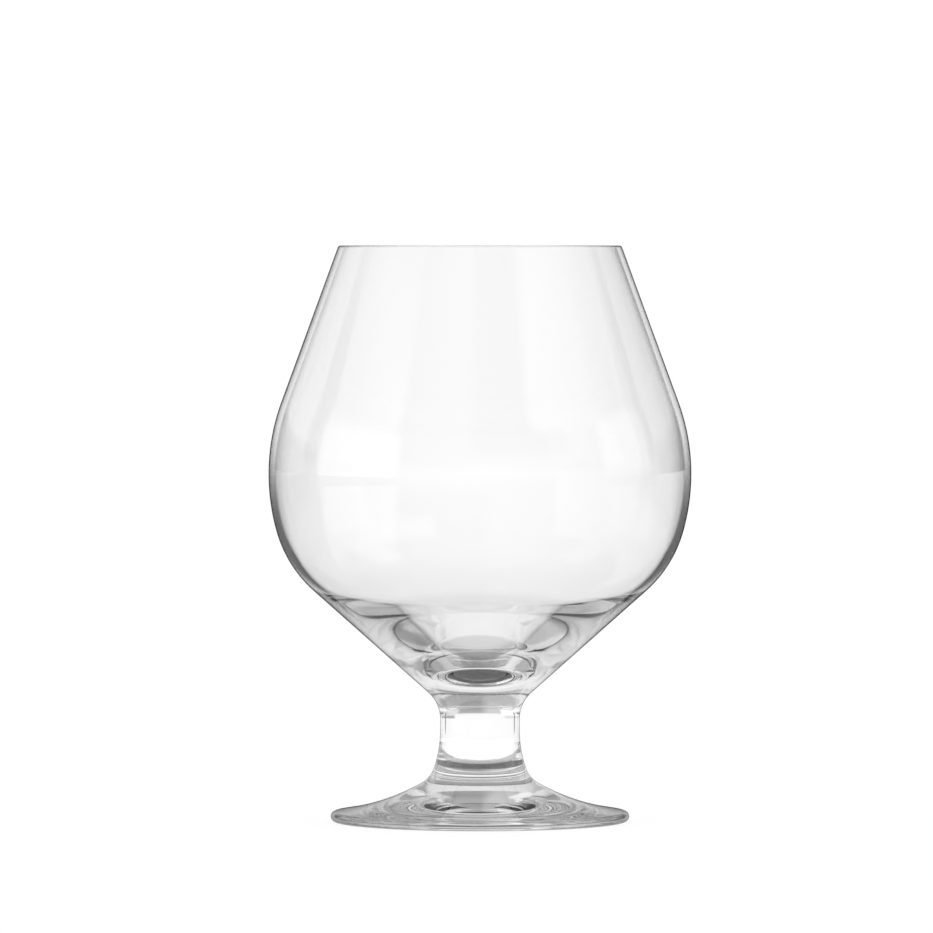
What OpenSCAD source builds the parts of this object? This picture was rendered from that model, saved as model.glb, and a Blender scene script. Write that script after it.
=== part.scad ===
// Brandy snifter in clear glass: a blown balloon bowl on a thick solid cone, a short solid stem and a disc foot.
// The three gathers are fused hot, end to end, at two level welds, and share one smooth outline.
// Z is the axis of the glass, and the foot stands on z = 0.
// Every lean is the angle between the outline and the vertical, in degrees.

/* [Bowl] */
// Outer diameter of the bowl where it is widest
bowl_d = 103; // [97:0.5:110]
// Outer diameter across the rim
mouth_d = 69.25; // [62:0.05:76]
// Thickness of the blown wall
wall = 1.5; // [1:0.1:2.4]
// Radius of the outline above the widest place
shoulder_r = 50.6; // [46:0.1:56]
// Lean of the straight upper wall
wall_lean = 20.1; // [17:0.1:24]
// Radius of the outline just below the widest place
belly_r = 51.7; // [46:0.1:58]
// Lean of the outline where that radius ends
belly_lean = 15.9; // [8:0.1:22]
// Radius of the outline where the bowl turns in to its solid cone
hip_r = 30.3; // [26:0.1:34]
// Lean of the solid cone
cone_lean = 48.35; // [45:0.05:51]
// Lean of the slope inside the cone, which is flatter than the cone, so the glass thickens towards the axis
slope_lean = 56.8; // [53:0.1:62]
// Radius of the round floor at the foot of that slope
floor_r = 27; // [18:0.5:36]

/* [Stem] */
// Diameter of the stem
stem_d = 19.4; // [16:0.1:24]
// Length of the straight part of the stem
shank_h = 2.9; // [1:0.1:12]
// Radius of the neck, where the stem widens into the cone
neck_r = 8.7; // [6:0.1:12]
// Height of the bowl's weld above the straight part
bowl_weld_h = 2.8; // [1:0.1:4]

/* [Foot] */
// Diameter of the foot
foot_d = 72.8; // [68:0.1:84]
// Thickness of the foot's round edge
edge_t = 2.45; // [1.6:0.05:3.2]
// Radius of the outline where the stem starts to spread
ankle_r = 27; // [22:0.5:32]
// Lean of the outline where that radius ends
ankle_lean = 20.2; // [18:0.1:24]
// Radius of the tighter turn above the disc
instep_r = 6.5; // [4:0.1:8]
// Lean of the outline where that turn ends
instep_lean = 60.7; // [56:0.1:64]
// Radius of the sweep down to the edge
sweep_r = 55.7; // [48:0.1:62]
// Lean of the disc at its edge
edge_lean = 80.6; // [78:0.1:83]
// Depth of the hollow ground under the foot
hollow_h = 1.2; // [0.4:0.1:1.8]
// Width of the flat ring that the glass stands on
ring_w = 2; // [1:0.1:4]
// Depth of the foot's weld below the straight part
foot_weld_h = 6.3; // [3:0.1:6.7]

/* [Hidden] */
$fn = 240;
// The chords of an outline's arcs stay this close to the true arc
arc_error = 0.01;
clear_glass = [0.9, 0.93, 0.94, 0.5];
bowl_radius = bowl_d / 2;
mouth_radius = mouth_d / 2;
stem_radius = stem_d / 2;
edge_r = edge_t / 2;
rim_r = wall / 2;

// A point at a distance from another, in a direction, in degrees
function polar(centre, radius, angle) = centre + radius * [cos(angle), sin(angle)];

// The points of an arc after its first one, which the outline already has
function arc(centre, radius, from, to) =
  let (chords = ceil(abs(to - from) / (2 * acos(1 - arc_error / radius))))
  [for (i = [1:chords]) polar(centre, radius, from + (to - from) * i / chords)];

// Foot: the sideways reach of each turn comes first, then the heights are added up from the edge
edge_centre = [foot_d / 2 - edge_r, edge_r];
edge_top = polar(edge_centre, edge_r, edge_lean);
ankle_x = stem_radius + ankle_r * (1 - cos(ankle_lean));
instep_x = ankle_x + instep_r * (cos(ankle_lean) - cos(instep_lean));
sweep_x = instep_x + sweep_r * (cos(instep_lean) - cos(edge_lean));
sweep_low = [sweep_x, edge_top.y + (edge_top.x - sweep_x) / tan(edge_lean)];
instep_low = [instep_x, sweep_low.y + sweep_r * (sin(edge_lean) - sin(instep_lean))];
ankle_low = [ankle_x, instep_low.y + instep_r * (sin(instep_lean) - sin(ankle_lean))];
shank_low = [stem_radius, ankle_low.y + ankle_r * sin(ankle_lean)];
sweep_centre = polar(sweep_low, sweep_r, edge_lean);
instep_centre = polar(instep_low, instep_r, instep_lean);
ankle_centre = polar(ankle_low, ankle_r, ankle_lean);
foot_weld_lean = asin(foot_weld_h / ankle_r);
foot_weld = polar(ankle_centre, ankle_r, 180 + foot_weld_lean);

// Hollow under the foot: a shallow dome inside the standing ring
hollow_radius = edge_centre.x - ring_w;
hollow_r = (hollow_radius * hollow_radius + hollow_h * hollow_h) / (2 * hollow_h);
hollow_centre = [0, hollow_h - hollow_r];
hollow_turn = atan2(-hollow_centre.y, hollow_radius);

// Stem: its straight part, and the neck that the weld to the bowl crosses
shank_top = shank_low + [0, shank_h];
neck_centre = shank_top + [neck_r, 0];
neck_top = polar(neck_centre, neck_r, 180 - cone_lean);
bowl_weld_lean = asin(bowl_weld_h / neck_r);
bowl_weld = polar(neck_centre, neck_r, 180 - bowl_weld_lean);

// Bowl outside: the cone is as long as the turns above it need, so it sets the height of the widest place
hip_in = polar([0, 0], belly_r - hip_r, -belly_lean);
cone_top_x = bowl_radius - belly_r + hip_in.x + hip_r * cos(cone_lean);
cone_top = [cone_top_x, neck_top.y + (cone_top_x - neck_top.x) / tan(cone_lean)];
hip_centre = polar(cone_top, hip_r, 180 - cone_lean);
belly_centre = hip_centre - hip_in;
shoulder_centre = belly_centre + [belly_r - shoulder_r, 0];
shoulder_top = polar(shoulder_centre, shoulder_r, wall_lean);
rim_out = [mouth_radius, shoulder_top.y + (shoulder_top.x - mouth_radius) / tan(wall_lean)];
rim_centre = polar(rim_out, rim_r, 180 + wall_lean);

// Bowl inside: one wall in from the outline down to the hip, whose turn goes on to the slope.
// The slope touches the hip's turn and the round floor, and that sets how deep the floor lies.
floor_centre = [0, hip_centre.y - (hip_centre.x * cos(slope_lean) + hip_r - wall - floor_r) / sin(slope_lean)];

function bowl_outside() = concat(
  [bowl_weld],
  arc(neck_centre, neck_r, 180 - bowl_weld_lean, 180 - cone_lean),
  [cone_top],
  arc(hip_centre, hip_r, -cone_lean, -belly_lean),
  arc(belly_centre, belly_r, -belly_lean, 0),
  arc(shoulder_centre, shoulder_r, 0, wall_lean),
  [rim_out]
);

function bowl_inside() = concat(
  arc(rim_centre, rim_r, wall_lean, 180 + wall_lean),
  [polar(shoulder_centre, shoulder_r - wall, wall_lean)],
  arc(shoulder_centre, shoulder_r - wall, wall_lean, 0),
  arc(belly_centre, belly_r - wall, 0, -belly_lean),
  arc(hip_centre, hip_r - wall, -belly_lean, -slope_lean),
  [polar(floor_centre, floor_r, -slope_lean)],
  arc(floor_centre, floor_r, -slope_lean, -90)
);

module bowl() {
  color(clear_glass) rotate_extrude() polygon(concat([[0, bowl_weld.y]], bowl_outside(), bowl_inside()));
}

module stem() {
  color(clear_glass) rotate_extrude() polygon(concat(
    [[0, foot_weld.y], foot_weld],
    arc(ankle_centre, ankle_r, 180 + foot_weld_lean, 180),
    [shank_top],
    arc(neck_centre, neck_r, 180, 180 - bowl_weld_lean),
    [[0, bowl_weld.y]]
  ));
}

module foot() {
  color(clear_glass) rotate_extrude() polygon(concat(
    [[0, hollow_h]],
    arc(hollow_centre, hollow_r, 90, hollow_turn),
    [[edge_centre.x, 0]],
    arc(edge_centre, edge_r, -90, edge_lean),
    [sweep_low],
    arc(sweep_centre, sweep_r, 180 + edge_lean, 180 + instep_lean),
    arc(instep_centre, instep_r, 180 + instep_lean, 180 + ankle_lean),
    arc(ankle_centre, ankle_r, 180 + ankle_lean, 180 + foot_weld_lean),
    [[0, foot_weld.y]]
  ));
}

bowl();
stem();
foot();
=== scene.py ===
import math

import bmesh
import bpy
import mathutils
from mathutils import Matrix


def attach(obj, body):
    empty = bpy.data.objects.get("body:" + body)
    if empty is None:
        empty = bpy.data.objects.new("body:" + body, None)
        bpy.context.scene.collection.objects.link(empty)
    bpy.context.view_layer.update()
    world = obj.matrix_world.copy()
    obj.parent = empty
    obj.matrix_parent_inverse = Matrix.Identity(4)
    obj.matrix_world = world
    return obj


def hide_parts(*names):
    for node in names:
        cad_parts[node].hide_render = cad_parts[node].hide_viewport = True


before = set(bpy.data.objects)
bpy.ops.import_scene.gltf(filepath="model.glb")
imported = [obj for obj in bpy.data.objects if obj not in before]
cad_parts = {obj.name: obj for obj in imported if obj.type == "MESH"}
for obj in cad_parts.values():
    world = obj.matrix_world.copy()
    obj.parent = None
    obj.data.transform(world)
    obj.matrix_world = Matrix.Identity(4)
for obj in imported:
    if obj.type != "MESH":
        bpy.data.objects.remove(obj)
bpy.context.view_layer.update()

# %% [markdown]
# # A brandy snifter in clear glass
# The real glass is three gathers of one clear melt. The bowl is blown, the stem is drawn from its
# base, and the foot is pressed from a third gather. They are fused hot, so light crosses the welds
# without a mark. Everything here is turned about one upright axis, so each piece could be lathed
# from half an outline, and that is how it is modelled.

MM = 0.001

# %% [markdown]
# ## Sizes
# The outline has to match the solids, so the sizes are the solids' own, in millimetres. It could be
# measured from their meshes, but those have flats, and clear glass shows every flat twice. A lean is
# the angle between the outline and the vertical, in degrees.

# %% Sizes of the bowl, the stem and the foot
# Bowl where it is widest and at its mouth, and its wall
BOWL_R, MOUTH_R, WALL = 51.5, 34.625, 1.5
# The turn above the widest place, and the lean of the straight wall that it runs into
SHOULDER_R, WALL_LEAN = 50.6, 20.1
# The turn below the widest place, and the lean that it ends with
BELLY_R, BELLY_LEAN = 51.7, 15.9
# The turn in to the solid cone, and the cone's lean
HIP_R, CONE_LEAN = 30.3, 48.35
# Inside the cone, the lean of the slope and the round floor
SLOPE_LEAN, FLOOR_R = 56.8, 27.0
# Stem, the length of its straight part, its neck, and how far above the straight part the weld is
STEM_R, SHANK_H, NECK_R, BOWL_WELD_H = 9.7, 2.9, 8.7, 2.8
# Foot and its round edge
FOOT_R, EDGE_R = 36.4, 1.225
# The three turns from the stem out to the edge, and the lean that each ends with
ANKLE_R, ANKLE_LEAN = 27.0, 20.2
INSTEP_R, INSTEP_LEAN = 6.5, 60.7
SWEEP_R, EDGE_LEAN = 55.7, 80.6
# Hollow under the foot, the flat ring round it, and how far below the straight part the weld is
HOLLOW_H, RING_W, FOOT_WELD_H = 1.2, 2.0, 6.3
print("bowl, mouth and foot across, mm:", 2 * BOWL_R, 2 * MOUTH_R, 2 * FOOT_R)


# %% Angles in degrees
def cos(angle):
    return math.cos(math.radians(angle))


def sin(angle):
    return math.sin(math.radians(angle))


def tan(angle):
    return math.tan(math.radians(angle))


def polar(centre, radius, angle):
    """The point at that distance and in that direction from the centre, in the plane of the outline."""
    return (centre[0] + radius * cos(angle), centre[1] + radius * sin(angle))


print("10 mm away, 30 degrees up, mm:", [round(value, 2) for value in polar((0, 0), 10, 30)])

# %% [markdown]
# ## Where the arcs meet
# Each arc of the outline starts where the last one ends, in the same direction, so the outline is
# smooth. The foot comes first. Its sideways reach is known, so its heights add up from the edge.

# %% Places along the foot and under it
edge_centre = (FOOT_R - EDGE_R, EDGE_R)
edge_top = polar(edge_centre, EDGE_R, EDGE_LEAN)
ankle_x = STEM_R + ANKLE_R * (1 - cos(ANKLE_LEAN))
instep_x = ankle_x + INSTEP_R * (cos(ANKLE_LEAN) - cos(INSTEP_LEAN))
sweep_x = instep_x + SWEEP_R * (cos(INSTEP_LEAN) - cos(EDGE_LEAN))
sweep_low = (sweep_x, edge_top[1] + (edge_top[0] - sweep_x) / tan(EDGE_LEAN))
instep_low = (instep_x, sweep_low[1] + SWEEP_R * (sin(EDGE_LEAN) - sin(INSTEP_LEAN)))
ankle_low = (ankle_x, instep_low[1] + INSTEP_R * (sin(INSTEP_LEAN) - sin(ANKLE_LEAN)))
shank_low = (STEM_R, ankle_low[1] + ANKLE_R * sin(ANKLE_LEAN))
sweep_centre = polar(sweep_low, SWEEP_R, EDGE_LEAN)
instep_centre = polar(instep_low, INSTEP_R, INSTEP_LEAN)
ankle_centre = polar(ankle_low, ANKLE_R, ANKLE_LEAN)
hollow_reach = edge_centre[0] - RING_W
hollow_r = (hollow_reach ** 2 + HOLLOW_H ** 2) / (2 * HOLLOW_H)
hollow_centre = (0.0, HOLLOW_H - hollow_r)
hollow_turn = math.degrees(math.atan2(-hollow_centre[1], hollow_reach))
print("the foot rises to, mm:", round(shank_low[1], 2), "radius of the hollow, mm:", round(hollow_r, 1))

# %% Places along the stem, and its two welds
foot_weld_lean = math.degrees(math.asin(FOOT_WELD_H / ANKLE_R))
foot_weld = polar(ankle_centre, ANKLE_R, 180 + foot_weld_lean)
shank_top = (STEM_R, shank_low[1] + SHANK_H)
neck_centre = (STEM_R + NECK_R, shank_top[1])
neck_top = polar(neck_centre, NECK_R, 180 - CONE_LEAN)
bowl_weld_lean = math.degrees(math.asin(BOWL_WELD_H / NECK_R))
bowl_weld = polar(neck_centre, NECK_R, 180 - bowl_weld_lean)
print("weld heights, mm:", round(foot_weld[1], 2), round(bowl_weld[1], 2))

# %% Places along the bowl
hip_in = polar((0, 0), BELLY_R - HIP_R, -BELLY_LEAN)
cone_top_x = BOWL_R - BELLY_R + hip_in[0] + HIP_R * cos(CONE_LEAN)
cone_top = (cone_top_x, neck_top[1] + (cone_top_x - neck_top[0]) / tan(CONE_LEAN))
hip_centre = polar(cone_top, HIP_R, 180 - CONE_LEAN)
belly_centre = (hip_centre[0] - hip_in[0], hip_centre[1] - hip_in[1])
shoulder_centre = (belly_centre[0] + BELLY_R - SHOULDER_R, belly_centre[1])
shoulder_top = polar(shoulder_centre, SHOULDER_R, WALL_LEAN)
rim_out = (MOUTH_R, shoulder_top[1] + (shoulder_top[0] - MOUTH_R) / tan(WALL_LEAN))
rim_centre = polar(rim_out, WALL / 2, 180 + WALL_LEAN)
print("widest at, mm:", round(belly_centre[1], 2), "rim at, mm:", round(rim_out[1], 2))

# %% The round floor that the slope inside the cone runs down to
floor_y = hip_centre[1] - (hip_centre[0] * cos(SLOPE_LEAN) + HIP_R - WALL - FLOOR_R) / sin(SLOPE_LEAN)
floor_centre = (0.0, floor_y)
print("floor on the axis, mm:", round(floor_y - FLOOR_R, 2))
print("floor above the neck, mm:", round(floor_y - FLOOR_R - neck_top[1], 2))

# %% [markdown]
# ## Turning a piece
# A glassmaker's tools touch the piece while it turns, so every section is the same outline. The
# outline could be a curve with a Screw modifier, but bmesh's own spin does both jobs. It turns one
# vertex about the centre of each arc to draw the outline, and then turns the outline about the
# axis of the glass. The steps are small because clear glass shows every facet twice.

# %% Helper that draws an outline
# Degrees a step on most arcs, on the small round edges, and on the long flat arcs
STEP = 1.0
RIM_STEP, EDGE_STEP = 6.0, 5.0
SWEEP_STEP, HOLLOW_STEP = 0.5, 0.05


class Outline:
    """Half a section, drawn from one vertex by extruding it and by spinning it about arc centres."""

    def __init__(self, start):
        self.mesh = bmesh.new()
        self.last = self.mesh.verts.new((0, 0, 0))
        self.settle(start)

    def settle(self, place):
        """Puts the last vertex exactly where it belongs, so that the ends on the axis close."""
        self.place = place
        self.last.co = (place[0] * MM, 0, place[1] * MM)

    def line(self, end):
        """Carries the outline straight to the end."""
        self.last = bmesh.ops.extrude_vert_indiv(self.mesh, verts=[self.last])["verts"][0]
        self.settle(end)

    def arc(self, centre, turn, step=STEP):
        """Carries the outline round the centre by that many degrees, with +X turning towards +Z."""
        made = bmesh.ops.spin(
            self.mesh, geom=[self.last], cent=(centre[0] * MM, 0, centre[1] * MM), axis=(0, -1, 0),
            angle=math.radians(turn), steps=max(2, math.ceil(abs(turn) / step)), use_merge=False)
        self.last = next(v for v in made["geom_last"] if isinstance(v, bmesh.types.BMVert))
        across, up = self.place[0] - centre[0], self.place[1] - centre[1]
        self.settle(polar(centre, math.hypot(across, up), math.degrees(math.atan2(up, across)) + turn))


print("steps of most arcs, degrees:", STEP, "of the round edges:", RIM_STEP, EDGE_STEP)

# %% [markdown]
# ## From an outline to a closed piece
# The full spin merges its last section into its first, and the poles are closed by merging doubles.
# Faces that lie level at a weld get a material of their own, the second slot, because light has to
# pass them unbent. Edges sharper than 20 degrees stay sharp, which are those round the welds and
# the standing ring.

# %% Helper that turns an outline
TURNS = 256
MERGE_M = 1e-7
SHARP_DEGREES = 20


def turned(name, outline, welds):
    """Turns the outline into a closed piece. welds are the heights at which it is fused to its neighbours."""
    mesh = outline.mesh
    bmesh.ops.spin(
        mesh, geom=mesh.verts[:] + mesh.edges[:], cent=(0, 0, 0), axis=(0, 0, 1),
        angle=2 * math.pi, steps=TURNS, use_merge=True)
    bmesh.ops.remove_doubles(mesh, verts=mesh.verts, dist=MERGE_M)
    bmesh.ops.recalc_face_normals(mesh, faces=mesh.faces)
    for face in mesh.faces:
        face.smooth = True
        face.material_index = int(any(
            all(abs(vert.co.z - weld * MM) < MERGE_M for vert in face.verts) for weld in welds))
    for edge in mesh.edges:
        edge.smooth = edge.calc_face_angle() < math.radians(SHARP_DEGREES)
    data = bpy.data.meshes.new(name)
    mesh.to_mesh(data)
    open_edges = sum(not edge.is_manifold for edge in mesh.edges)
    print(name, "faces:", len(mesh.faces), "volume, mm3:", round(mesh.calc_volume() / MM ** 3, 1),
          "open edges:", open_edges)
    mesh.free()
    piece = bpy.data.objects.new(name, data)
    bpy.context.scene.collection.objects.link(piece)
    return piece


# %% [markdown]
# ## Bowl
# The bowl is blown thin above and left thick below, where the drink would warm in the hand. Its
# wall is 1.5 mm down to the hip. From there the inside is flatter than the outside, so the glass
# thickens to a solid cone with a round floor. Outside it is four arcs and two straight runs. The
# rim is fire polished, which melts it into a half round. The outline starts on the axis at the
# weld, goes up outside, over the rim and down inside to the axis.

# %% Bowl
bowl_line = Outline((0, bowl_weld[1]))
bowl_line.line(bowl_weld)
bowl_line.arc(neck_centre, bowl_weld_lean - CONE_LEAN)
bowl_line.line(cone_top)
bowl_line.arc(hip_centre, CONE_LEAN - BELLY_LEAN)
bowl_line.arc(belly_centre, BELLY_LEAN)
bowl_line.arc(shoulder_centre, WALL_LEAN)
bowl_line.line(rim_out)
bowl_line.arc(rim_centre, 180, RIM_STEP)
bowl_line.line(polar(shoulder_centre, SHOULDER_R - WALL, WALL_LEAN))
bowl_line.arc(shoulder_centre, -WALL_LEAN)
bowl_line.arc(belly_centre, -BELLY_LEAN)
bowl_line.arc(hip_centre, BELLY_LEAN - SLOPE_LEAN)
bowl_line.line(polar(floor_centre, FLOOR_R, -SLOPE_LEAN))
bowl_line.arc(floor_centre, SLOPE_LEAN - 90)
bowl = turned("bowl_glass", bowl_line, [bowl_weld[1]])

# %% [markdown]
# ## Stem
# The stem is a short solid rod. It widens at the top into the neck and at the bottom towards the
# foot, and it ends at the two levels where the gathers meet.

# %% Stem
stem_line = Outline((0, foot_weld[1]))
stem_line.line(foot_weld)
stem_line.arc(ankle_centre, -foot_weld_lean)
stem_line.line(shank_top)
stem_line.arc(neck_centre, -bowl_weld_lean)
stem_line.line((0, bowl_weld[1]))
stem = turned("stem_glass", stem_line, [foot_weld[1], bowl_weld[1]])

# %% [markdown]
# ## Foot
# The foot is a disc pressed while it is soft, with a rounded edge. Underneath, the middle is
# hollowed a little, so that the glass stands on a ring and does not rock. The hollow is so flat
# that its arc needs much finer steps than the others.

# %% Foot
foot_line = Outline((0, HOLLOW_H))
foot_line.arc(hollow_centre, hollow_turn - 90, HOLLOW_STEP)
foot_line.line((edge_centre[0], 0))
foot_line.arc(edge_centre, EDGE_LEAN + 90, EDGE_STEP)
foot_line.line(sweep_low)
foot_line.arc(sweep_centre, INSTEP_LEAN - EDGE_LEAN, SWEEP_STEP)
foot_line.arc(instep_centre, ANKLE_LEAN - INSTEP_LEAN)
foot_line.arc(ankle_centre, foot_weld_lean - ANKLE_LEAN)
foot_line.line((0, foot_weld[1]))
foot = turned("foot_glass", foot_line, [foot_weld[1]])

# %% [markdown]
# ## Materials by nodes
# Colours are written as sRGB hex values, as a paint chart gives them, and one function turns them
# to the linear values that a shader takes. One small function adds any node, sets its sockets and
# links them. Sockets that share a name are called by number: in a Mix node, 0 is the factor, 2 and 3
# are the two numbers, and 6 and 7 are the two colours.


# %% Helpers for colours and nodes
def linear(hex_colour):
    """An sRGB hex colour as the linear red, green, blue and alpha that a shader takes, by the standard's
    own curve: a straight run near black and a power above it."""
    parts = [int(hex_colour[i:i + 2], 16) / 255 for i in (1, 3, 5)]
    return [c / 12.92 if c <= 0.04045 else ((c + 0.055) / 1.055) ** 2.4 for c in parts] + [1.0]


def node(tree, kind, inputs=(), **settings):
    """Adds a node with its settings. Each entry of inputs gives a socket a value or links it to an output."""
    made = tree.nodes.new(kind)
    for name, value in settings.items():
        setattr(made, name, value)
    for socket, value in dict(inputs).items():
        if isinstance(value, bpy.types.NodeSocket):
            tree.links.new(value, made.inputs[socket])
        else:
            made.inputs[socket].default_value = value
    return made


def new_material(name):
    """A material with no nodes yet, and its node tree."""
    material = bpy.data.materials.new(name)
    material.use_nodes = True
    material.node_tree.nodes.clear()
    return material, material.node_tree


print("mid grey, linear:", round(linear("#808080")[0], 3))

# %% [markdown]
# ## Glass
# Soda-lime glass for drinking has an index of about 1.5 and, at these thicknesses, almost no
# colour. A Principled shader could give it too, but the plain Glass shader is all that a clear,
# fire-polished surface needs, and its roughness is zero.
#
# Two things keep it from looking like a computer's glass. Blowing leaves the surface very slightly
# uneven, in waves a few centimetres long, which shows as a gentle wander in the reflections. And
# where it is seen nearly edge on, its colour is painted grey, slowly towards its outline and then
# quickly, in a thin dark line. That is painted shade: it stands in for the dark surroundings that the
# slanted glass shows, and a little of the slow grey stands for the light that the glass takes up on a
# long path through it. Layer Weight tells how slanted the surface is, and a slow and a fast rise of
# that value are added up as the grey.

# %% Glass
INDEX = 1.5
# Length of the waves in the surface
WAVE_MM = 30.0
# How suddenly the painted dark line along the outline starts
EDGE_POWER = 13.0


def clear_glass(name, uneven, painted_line_gain, slow_painted_shade):
    """Fire-polished soda-lime glass, with painted shade along its outline. uneven is how far its surface
    wanders, in millimetres. The other two set the painted shade: the first how fast the thin dark
    line along its outline darkens, the second how grey it is painted slowly towards the outline."""
    material, tree = new_material(name)
    slant = node(tree, "ShaderNodeLayerWeight", {"Blend": 0.5}).outputs["Facing"]
    line = node(tree, "ShaderNodeMath", {0: slant, 1: EDGE_POWER}, operation="POWER")
    slow_shade = node(tree, "ShaderNodeMath", {0: slant, 1: slow_painted_shade}, operation="MULTIPLY")
    grey = node(tree, "ShaderNodeMath", {0: line.outputs[0], 1: painted_line_gain, 2: slow_shade.outputs[0]},
                operation="MULTIPLY_ADD", use_clamp=True)
    # Painted shade: the colour goes from white, where the glass faces the eye, to near black along its outline
    body = node(tree, "ShaderNodeMix", {0: grey.outputs[0], 6: linear("#FFFFFF"), 7: linear("#101110")},
                data_type="RGBA")
    place = node(tree, "ShaderNodeTexCoord").outputs["Object"]
    wave = node(tree, "ShaderNodeTexNoise", {"Vector": place, "Scale": 1 / (WAVE_MM * MM), "Detail": 1.0})
    bump = node(tree, "ShaderNodeBump", {"Height": wave.outputs["Fac"], "Distance": uneven * MM, "Strength": 1.0})
    glass = node(tree, "ShaderNodeBsdfGlass", {
        "Color": body.outputs[2], "IOR": INDEX, "Roughness": 0.0, "Normal": bump.outputs["Normal"]})
    node(tree, "ShaderNodeOutputMaterial", {"Surface": glass.outputs["BSDF"]})
    print(name, "wanders", uneven, "mm")
    return material


# Blown, so its reflections wander a little, and a dark line of painted shade runs along its outline
bowl.data.materials.append(clear_glass("soda_lime_glass_blown", uneven=0.01, painted_line_gain=2.4, slow_painted_shade=0.12))
# Drawn out like a thread, so it is the smoothest, and its reflections run straight down it
stem.data.materials.append(clear_glass("soda_lime_glass_drawn", uneven=0.002, painted_line_gain=2.6, slow_painted_shade=0.08))
# Pressed and fire polished, so faint waves of the tool are left, and the painted shade along its outline is paler
foot.data.materials.append(clear_glass("soda_lime_glass_pressed", uneven=0.005, painted_line_gain=1.2, slow_painted_shade=0.12))

# %% [markdown]
# ## Welds
# Where two gathers fused there is the same glass on both sides, so nothing is seen there. The faces
# could be left out, but then the pieces would be open, so they stay and are made fully transparent.

# %% Weld faces
fused_weld, tree = new_material("fused_weld")
clear = node(tree, "ShaderNodeBsdfTransparent", {"Color": linear("#FFFFFF")})
node(tree, "ShaderNodeOutputMaterial", {"Surface": clear.outputs["BSDF"]})
for piece in (bowl, stem, foot):
    piece.data.materials.append(fused_weld)
    print(piece.name, "weld faces:", sum(face.material_index for face in piece.data.polygons))

# %% [markdown]
# ## Places in the model
# Nothing on a glass moves, so all three pieces ride on the one body, and each stands for the plain
# solid that it is a finer copy of.

# %% Pieces take their places in the table
for piece, part in ((bowl, "bowl"), (stem, "stem"), (foot, "foot")):
    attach(piece, "root")
    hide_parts(part)
    print(piece.name, "stands for", part)

# %% [markdown]
# ## Camera
# The photograph is taken from far off with a long lens, level with the rim, which shows as a line.
# The lens and the tilt follow from what the frame shows, in millimetres at the glass: the frame's
# width, the height of the table and of the rim, and how far the glass stands from the middle.

# %% Camera
# Millimetres at the glass in one pixel of the frame, and where the frame has the glass's axis, the
# table under the middle of the foot, and the eye's own height
PIXEL_MM = 0.24367
FRAME_PX = 933
AXIS_PX, TABLE_PX, EYE_PX = 479.94, 821.56, 250.0
DISTANCE_MM = 2000.0
SENSOR_MM = 36.0
CLIP_M = (0.05, 50.0)
eye_mm = (TABLE_PX - EYE_PX) * PIXEL_MM
aim_mm = (TABLE_PX - FRAME_PX / 2) * PIXEL_MM
side_mm = (FRAME_PX / 2 - AXIS_PX) * PIXEL_MM
camera_data = bpy.data.cameras.new("camera")
camera_data.sensor_width = SENSOR_MM
camera_data.lens = SENSOR_MM * math.hypot(DISTANCE_MM, eye_mm - aim_mm) / (FRAME_PX * PIXEL_MM)
camera_data.clip_start, camera_data.clip_end = CLIP_M
camera = bpy.data.objects.new("camera", camera_data)
camera.location = (side_mm * MM, -DISTANCE_MM * MM, eye_mm * MM)
camera.rotation_euler = (math.pi / 2 - math.atan((eye_mm - aim_mm) / DISTANCE_MM), 0, 0)
bpy.context.scene.collection.objects.link(camera)
bpy.context.scene.camera = camera
print("lens, mm:", round(camera_data.lens, 1), "eye above the table, mm:", round(eye_mm, 1))

# %% [markdown]
# ## Studio
# Clear glass has no colour of its own. It shows what stands round it, so a glass is lit by choosing
# its surroundings: white behind it, soft windows at the sides, and something darker between, which
# draws the edges. Lamps could do it, but each would need a mesh to be seen in the glass. Here the
# surroundings are painted on the world as soft-edged panels, by direction, and on the table by
# place. Directions are bearings about the glass, 0 behind it and 90 to its right, and elevations.


# %% Helpers that lay soft-edged panels of light
def bearing(tree, place):
    """The direction of a place about the glass, in degrees: 0 behind it, 90 to its right, 180 at the camera."""
    parts = node(tree, "ShaderNodeSeparateXYZ", {"Vector": place}).outputs
    angle = node(tree, "ShaderNodeMath", {0: parts["X"], 1: parts["Y"]}, operation="ARCTAN2")
    return node(tree, "ShaderNodeMath", {0: angle.outputs[0]}, operation="DEGREES").outputs[0]


def within(tree, value, low, high, soft):
    """1 where the value is between low and high, fading to 0 over soft each way."""
    middle, half = (low + high) / 2, (high - low) / 2
    off = node(tree, "ShaderNodeMath", {0: value, 1: middle}, operation="SUBTRACT")
    off = node(tree, "ShaderNodeMath", {0: off.outputs[0]}, operation="ABSOLUTE")
    return node(tree, "ShaderNodeMapRange", {
        "Value": off.outputs[0], "From Min": half - soft, "From Max": half + soft, "To Min": 1.0, "To Max": 0.0},
        interpolation_type="SMOOTHSTEP").outputs[0]


def about(tree, azimuth, low, high, soft):
    """The same for a bearing, where 180 and -180 are one direction."""
    middle = (low + high) / 2
    off = node(tree, "ShaderNodeMath", {0: azimuth, 1: middle}, operation="SUBTRACT")
    off = node(tree, "ShaderNodeMath", {0: off.outputs[0], 1: 180.0, 2: -180.0}, operation="WRAP")
    return within(tree, off.outputs[0], low - middle, high - middle, soft)


def panel(tree, under, wide, tall, strength):
    """The light under it, covered by a panel of that strength where both masks are 1."""
    cover = node(tree, "ShaderNodeMath", {0: wide, 1: tall}, operation="MULTIPLY")
    return node(tree, "ShaderNodeMix", {0: cover.outputs[0], 2: under, 3: strength}).outputs[0]


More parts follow.
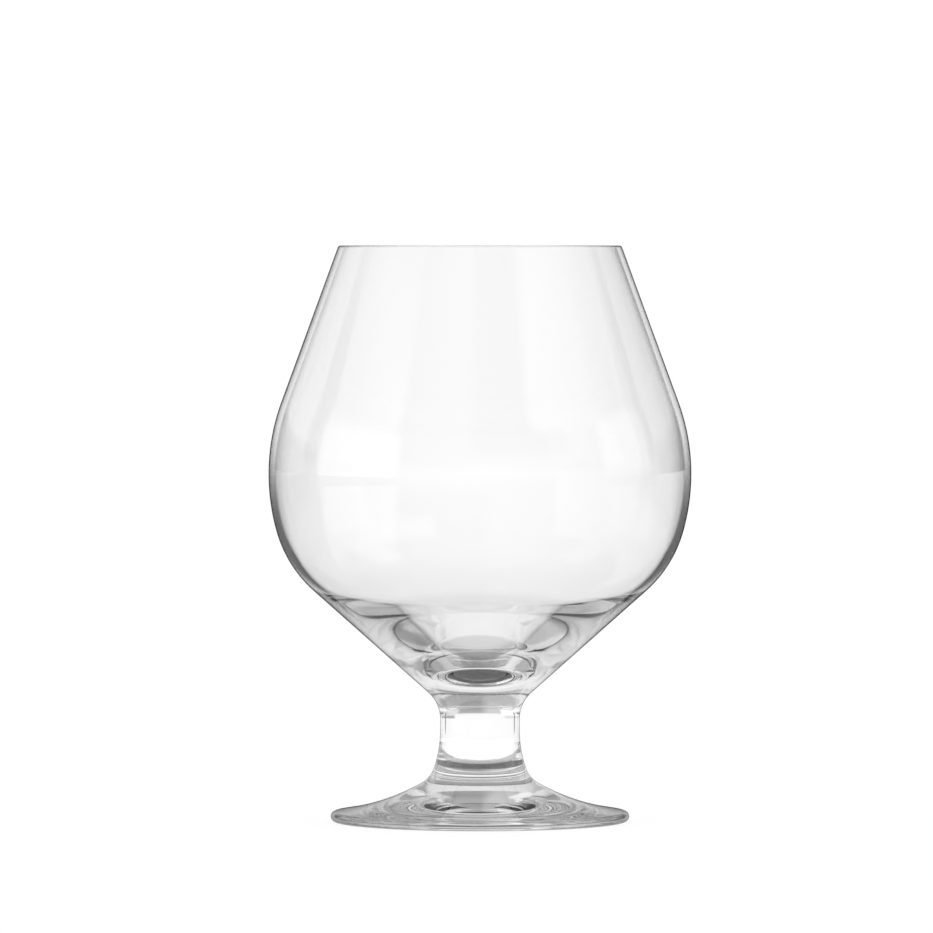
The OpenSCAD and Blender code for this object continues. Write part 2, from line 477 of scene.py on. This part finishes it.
def ladder(tree, value, stops):
    """A strength that goes straight from each stop to the next. A stop is a value and its strength."""
    low, high = stops[0][0], stops[-1][0]
    share = node(tree, "ShaderNodeMapRange", {"Value": value, "From Min": low, "From Max": high})
    ramp = node(tree, "ShaderNodeValToRGB", {"Fac": share.outputs[0]})
    while len(ramp.color_ramp.elements) < len(stops):
        ramp.color_ramp.elements.new(0.5)    # its place comes next
    for element, (place, level) in zip(ramp.color_ramp.elements, stops):
        element.position = (place - low) / (high - low)
        element.color = (level, level, level, 1)
    return ramp.outputs["Color"]


helpers = (bearing, within, about, panel, ladder)
print("helpers of the studio:", ", ".join(helper.__name__ for helper in helpers))

# %% [markdown]
# ## Above the table
# Strength 1 is white. Behind the glass is a white wall, seen through the bowl and the stem. The left
# of the room is lighter than the right, as the left and right sides of the upper bowl show. A soft
# window on each side gives the white patches on the belly. The windows are brighter than white, as
# real ones are, but what is seen through the glass is held back to little more than white, so that
# the glass does not burn out from the sides. The camera itself sees plain white.

# %% Panels of the studio
# Elevation and strength of the room itself, which is white low down and grey above
BY_ELEVATION = ((-90, 1.0), (2, 1.0), (14, 0.45), (32, 0.35), (50, 0.5), (90, 0.45))
# Bearing from and to, elevation from and to, softness, strength
STUDIO_PANELS = (
    (-175, -5, 6, 80, 6, 0.65),    # the lighter left half of the room
    (-130, -24, 8, 36, 3, 1.4),    # white wall on the left
    (24, 130, 8, 36, 3, 0.8),      # grey wall on the right
    (28, 66, -3, 8, 3, 0.4),       # darker strip low down on the right, beside the white wall
    (-66, -28, -3, 8, 3, 0.8),     # a lighter one on the left
    (-28, 28, -90, 13, 3, 1.0),    # white wall behind the glass
    (76, 102, 34, 56, 1, 1.0),     # ceiling light on the right
    (-102, -76, 34, 56, 1, 1.1),   # ceiling light on the left
    (92, 150, 24, 41, 4, 1.0),     # bright band over the right window
    (-133, -80, -90, 20, 4, 2.3),  # window on the left
    (74, 108, 1, 24, 3, 1.8),      # window on the right
)
print("panels in the studio:", len(STUDIO_PANELS))

# %% Studio by direction
world = bpy.data.worlds.new("studio")
world.use_nodes = True
bpy.context.scene.world = world
tree = world.node_tree
tree.nodes.clear()
direction = node(tree, "ShaderNodeTexCoord").outputs["Generated"]
azimuth = bearing(tree, direction)
upward = node(tree, "ShaderNodeSeparateXYZ", {"Vector": direction}).outputs["Z"]
elevation = node(tree, "ShaderNodeMath", {0: upward}, operation="ARCSINE")
elevation = node(tree, "ShaderNodeMath", {0: elevation.outputs[0]}, operation="DEGREES").outputs[0]
studio = ladder(tree, elevation, BY_ELEVATION)
for left, right, bottom, top, soft, strength in STUDIO_PANELS:
    wide = about(tree, azimuth, left, right, soft)
    studio = panel(tree, studio, wide, within(tree, elevation, bottom, top, soft), strength)
print("nodes that paint the studio:", len(tree.nodes))

# %% What each kind of ray sees of the studio
# The most light that is seen through the glass
THROUGH_MOST = 1.15
ray = node(tree, "ShaderNodeLightPath").outputs
seen = node(tree, "ShaderNodeMath", {0: ray["Is Glossy Ray"], 1: ray["Is Transmission Ray"]}, operation="MAXIMUM")
held = node(tree, "ShaderNodeMath", {0: studio, 1: THROUGH_MOST}, operation="MINIMUM")
studio = node(tree, "ShaderNodeMix", {0: ray["Is Transmission Ray"], 2: studio, 3: held.outputs[0]}).outputs[0]
light = node(tree, "ShaderNodeMix", {0: seen.outputs[0], 2: 1.0, 3: studio})
sky = node(tree, "ShaderNodeBackground", {"Color": light.outputs[0], "Strength": 1.0})
node(tree, "ShaderNodeOutputWorld", {"Surface": sky.outputs[0]})
print("reflections see up to", max(strength for *_, strength in STUDIO_PANELS), "and glass lets through", THROUGH_MOST)

# %% [markdown]
# ## Table
# The glass stands on a matt white table that glows, and its matt part still takes the object's
# shadow. The glow is painted light, set by place, and only the camera sees it even. Under the foot it
# is painted dark, as a painted shadow of the foot, and the thick base mirrors that dark as an
# ellipse. Just round the foot it is painted a little brighter, and on each side lies a painted pool
# of window light. The table lies a hair under the standing ring, so that two faces never share one
# place. What is seen of it through the glass is held back as the studio's light is.

# %% Table
TABLE_R_MM = 6000.0
TABLE_SIDES = 96
HAIR_MM = 0.05
table_mesh = bmesh.new()
bmesh.ops.create_circle(table_mesh, cap_ends=True, segments=TABLE_SIDES, radius=TABLE_R_MM * MM)
bmesh.ops.translate(table_mesh, verts=table_mesh.verts, vec=(0, 0, -HAIR_MM * MM))
table_data = bpy.data.meshes.new("table_top")
table_mesh.to_mesh(table_data)
table_mesh.free()
table_top = bpy.data.objects.new("table_top", table_data)
bpy.context.scene.collection.objects.link(table_top)
print("table across, m:", 2 * TABLE_R_MM * MM)

# %% Light of the table
# Distance from the axis in metres, and strength of the painted light: dark under the foot as a painted shadow, brighter
# just round it
BY_DISTANCE = (
    (0, 0.1), (0.019, 0.1), (0.022, 0.34), (0.034, 0.46), (0.037, 0.9), (0.045, 1.0), (0.1, 1.0), (0.16, 0.88),
    (1, 0.88))
# Bearing from and to, distance from and to in metres, strength
TABLE_PANELS = (
    (-135, -88, 0.09, 1, 1.5),     # light of the left window
    (74, 108, 0.2, 1, 1.1),        # light of the right window
)
# Softness of their edges, in degrees and in metres
SOFT_DEGREES, SOFT_M = 3, 0.02
# The glow that the camera sees. The light that falls on the table makes it up to white.
CAMERA_GLOW = 0.9
white_table, tree = new_material("white_acrylic_table_top")
place = node(tree, "ShaderNodeTexCoord").outputs["Object"]
azimuth = bearing(tree, place)
away = node(tree, "ShaderNodeVectorMath", {0: place}, operation="LENGTH").outputs["Value"]
# Painted light on the table: a painted shadow under the foot, and painted pools of window light at the sides
table_light = ladder(tree, away, BY_DISTANCE)
for left, right, near, far, strength in TABLE_PANELS:
    wide = about(tree, azimuth, left, right, SOFT_DEGREES)
    table_light = panel(tree, table_light, wide, within(tree, away, near, far, SOFT_M), strength)
ray = node(tree, "ShaderNodeLightPath").outputs
held = node(tree, "ShaderNodeMath", {0: table_light, 1: THROUGH_MOST}, operation="MINIMUM")
table_light = node(tree, "ShaderNodeMix", {
    0: ray["Is Transmission Ray"], 2: table_light, 3: held.outputs[0]}).outputs[0]
glow = node(tree, "ShaderNodeMix", {0: ray["Is Camera Ray"], 2: table_light, 3: CAMERA_GLOW})
shade = node(tree, "ShaderNodeBsdfDiffuse", {"Color": linear("#606060")})
shine = node(tree, "ShaderNodeEmission", {"Color": linear("#FFFFFF"), "Strength": glow.outputs[0]})
both = node(tree, "ShaderNodeAddShader", {0: shade.outputs[0], 1: shine.outputs[0]})
node(tree, "ShaderNodeOutputMaterial", {"Surface": both.outputs[0]})
table_data.materials.append(white_table)
print("panels on the table:", len(TABLE_PANELS))

# %% [markdown]
# ## Flags
# Glass on white has no outline of its own, so a photographer stands dark flags behind it, out of the
# picture. The thick edges of the bowl bend the dark into view. These two stand in a V that points at
# the glass. Each is in an upright plane through the glass's axis, so what the stem shows lies along
# the flags and not behind them, and the stem stays bright. From the sides and from behind, the V is
# edge on or clear of the bowl. The flags are grey net and fade out towards all their sides, so they
# have no hard edges. The camera doesn't see them, and they cast no shadow.

# %% Net of the flags
# Distance from the axis and height where the net is clear and where it is dense, in millimetres
FLAG_NEAR, FLAG_FAR = (74, 90), (219, 161)
FLAG_LOW, FLAG_TOP = (6, 18), (108, 62)
flag_net, flag_tree = new_material("grey_net")
flag_place = node(flag_tree, "ShaderNodeTexCoord").outputs["Object"]
flag_flat = node(flag_tree, "ShaderNodeVectorMath", {0: flag_place, 1: (1, 1, 0)}, operation="MULTIPLY").outputs[0]
flag_away = node(flag_tree, "ShaderNodeVectorMath", {0: flag_flat}, operation="LENGTH").outputs["Value"]
flag_height = node(flag_tree, "ShaderNodeSeparateXYZ", {"Vector": flag_place}).outputs["Z"]
flag_dense = 1.0
for value, (clear_at, dense_at) in (
    (flag_away, FLAG_NEAR), (flag_away, FLAG_FAR), (flag_height, FLAG_LOW), (flag_height, FLAG_TOP),
):
    fade = node(flag_tree, "ShaderNodeMapRange", {
        "Value": value, "From Min": clear_at * MM, "From Max": dense_at * MM}, interpolation_type="SMOOTHSTEP")
    flag_dense = node(flag_tree, "ShaderNodeMath", {0: flag_dense, 1: fade.outputs[0]}, operation="MULTIPLY").outputs[0]
thread = node(flag_tree, "ShaderNodeBsdfDiffuse", {"Color": linear("#808080"), "Roughness": 1.0})
hole = node(flag_tree, "ShaderNodeBsdfTransparent")
threads = node(flag_tree, "ShaderNodeMixShader", {0: flag_dense, 1: hole.outputs[0], 2: thread.outputs[0]})
node(flag_tree, "ShaderNodeOutputMaterial", {"Surface": threads.outputs[0]})
print("the net is dense from", FLAG_NEAR[1], "to", FLAG_FAR[1], "mm out and", FLAG_LOW[1], "to", FLAG_TOP[1], "mm up")

# %% Flags
FLAG_BEARINGS = (45, 135)
for turn in FLAG_BEARINGS:
    mesh = bmesh.new()
    bmesh.ops.create_grid(mesh, x_segments=1, y_segments=1, size=0.5 * MM)
    bmesh.ops.scale(mesh, verts=mesh.verts, vec=(FLAG_FAR[0] - FLAG_NEAR[0], FLAG_TOP[0] - FLAG_LOW[0], 1))
    bmesh.ops.rotate(mesh, verts=mesh.verts, matrix=mathutils.Matrix.Rotation(math.radians(90), 3, "X"))
    bmesh.ops.translate(mesh, verts=mesh.verts, vec=(
        (FLAG_FAR[0] + FLAG_NEAR[0]) / 2 * MM, 0, (FLAG_TOP[0] + FLAG_LOW[0]) / 2 * MM))
    bmesh.ops.rotate(mesh, verts=mesh.verts, matrix=mathutils.Matrix.Rotation(math.radians(turn), 3, "Z"))
    data = bpy.data.meshes.new("flag")
    mesh.to_mesh(data)
    mesh.free()
    data.materials.append(flag_net)
    flag = bpy.data.objects.new("flag", data)
    flag.visible_camera = flag.visible_diffuse = flag.visible_shadow = False
    bpy.context.scene.collection.objects.link(flag)
    reach = [math.hypot(vert.co.x, vert.co.y) / MM for vert in data.vertices]
    print(flag.name, "at", turn, "degrees reaches from", round(min(reach)), "to", round(max(reach)), "mm out")

# %% [markdown]
# ## Render settings that clear glass needs
# Light that is caught in the thick base turns back and forth many times before it leaves. With the
# usual few bounces such places turn black, so the limits are raised.

# %% View transform and bounces
BOUNCES = 48
scene = bpy.context.scene
scene.view_settings.view_transform = "Standard"
for limit in ("max_bounces", "transmission_bounces", "glossy_bounces", "transparent_max_bounces"):
    setattr(scene.cycles, limit, BOUNCES)
print("bounces:", BOUNCES)
